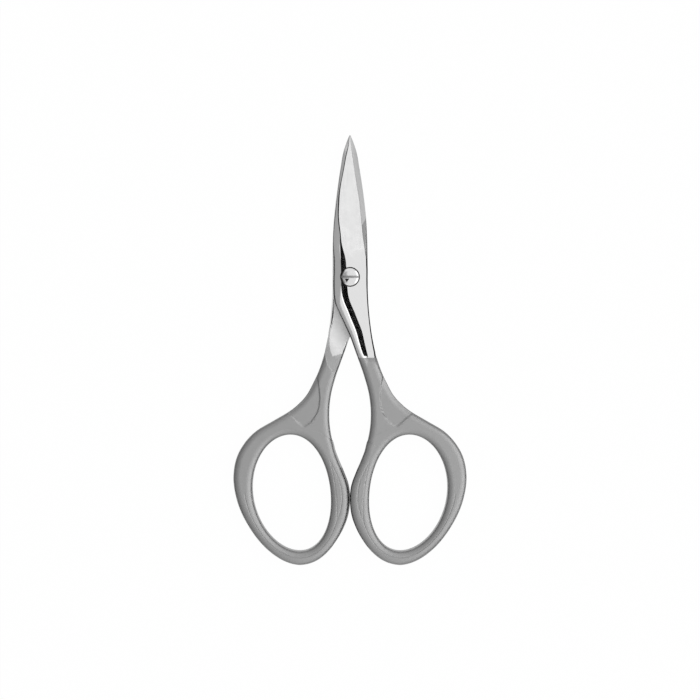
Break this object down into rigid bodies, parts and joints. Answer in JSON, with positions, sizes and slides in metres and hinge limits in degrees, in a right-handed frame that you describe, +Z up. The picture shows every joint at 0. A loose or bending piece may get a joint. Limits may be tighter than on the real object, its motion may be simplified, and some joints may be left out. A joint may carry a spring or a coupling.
{
  "type": "nail scissors",
  "caption": "Slim straight-bladed nail scissors: forged steel halves with finger rings, crossing at a slotted pivot screw.",
  "frame": {"origin": "middle of the closed scissors' footprint, on the surface they lie on", "axes": "+Y from the rings to the tips, +X towards the upper half's ring, +Z up along the pivot screw to its slotted head"},
  "size_m": [0.0498, 0.0921, 0.004],
  "materials": {
    "forged_steel": "blasted satin handles and rings, mirror-polished blades and joint",
    "polished_steel": "polished"
  },
  "bodies": {
    "lower_scissor_half": {"lower_half": "forged_steel"},
    "upper_scissor_half": {"upper_half": "forged_steel"},
    "screw": {"pivot_screw": "polished_steel"}
  },
  "joints": [
    {"name": "scissor_pivot", "type": "hinge", "parent": "lower_scissor_half", "child": "upper_scissor_half", "pos_m": [0, 0.01565, 0.002], "axis": [0, 0, 1], "range_deg": [0, 135]},
    {"name": "tension_adjustment", "type": "hinge", "parent": "lower_scissor_half", "child": "screw", "pos_m": [0, 0.01565, 0.002], "axis": [0, 0, 1], "range_deg": [-45, 45]}
  ]
}
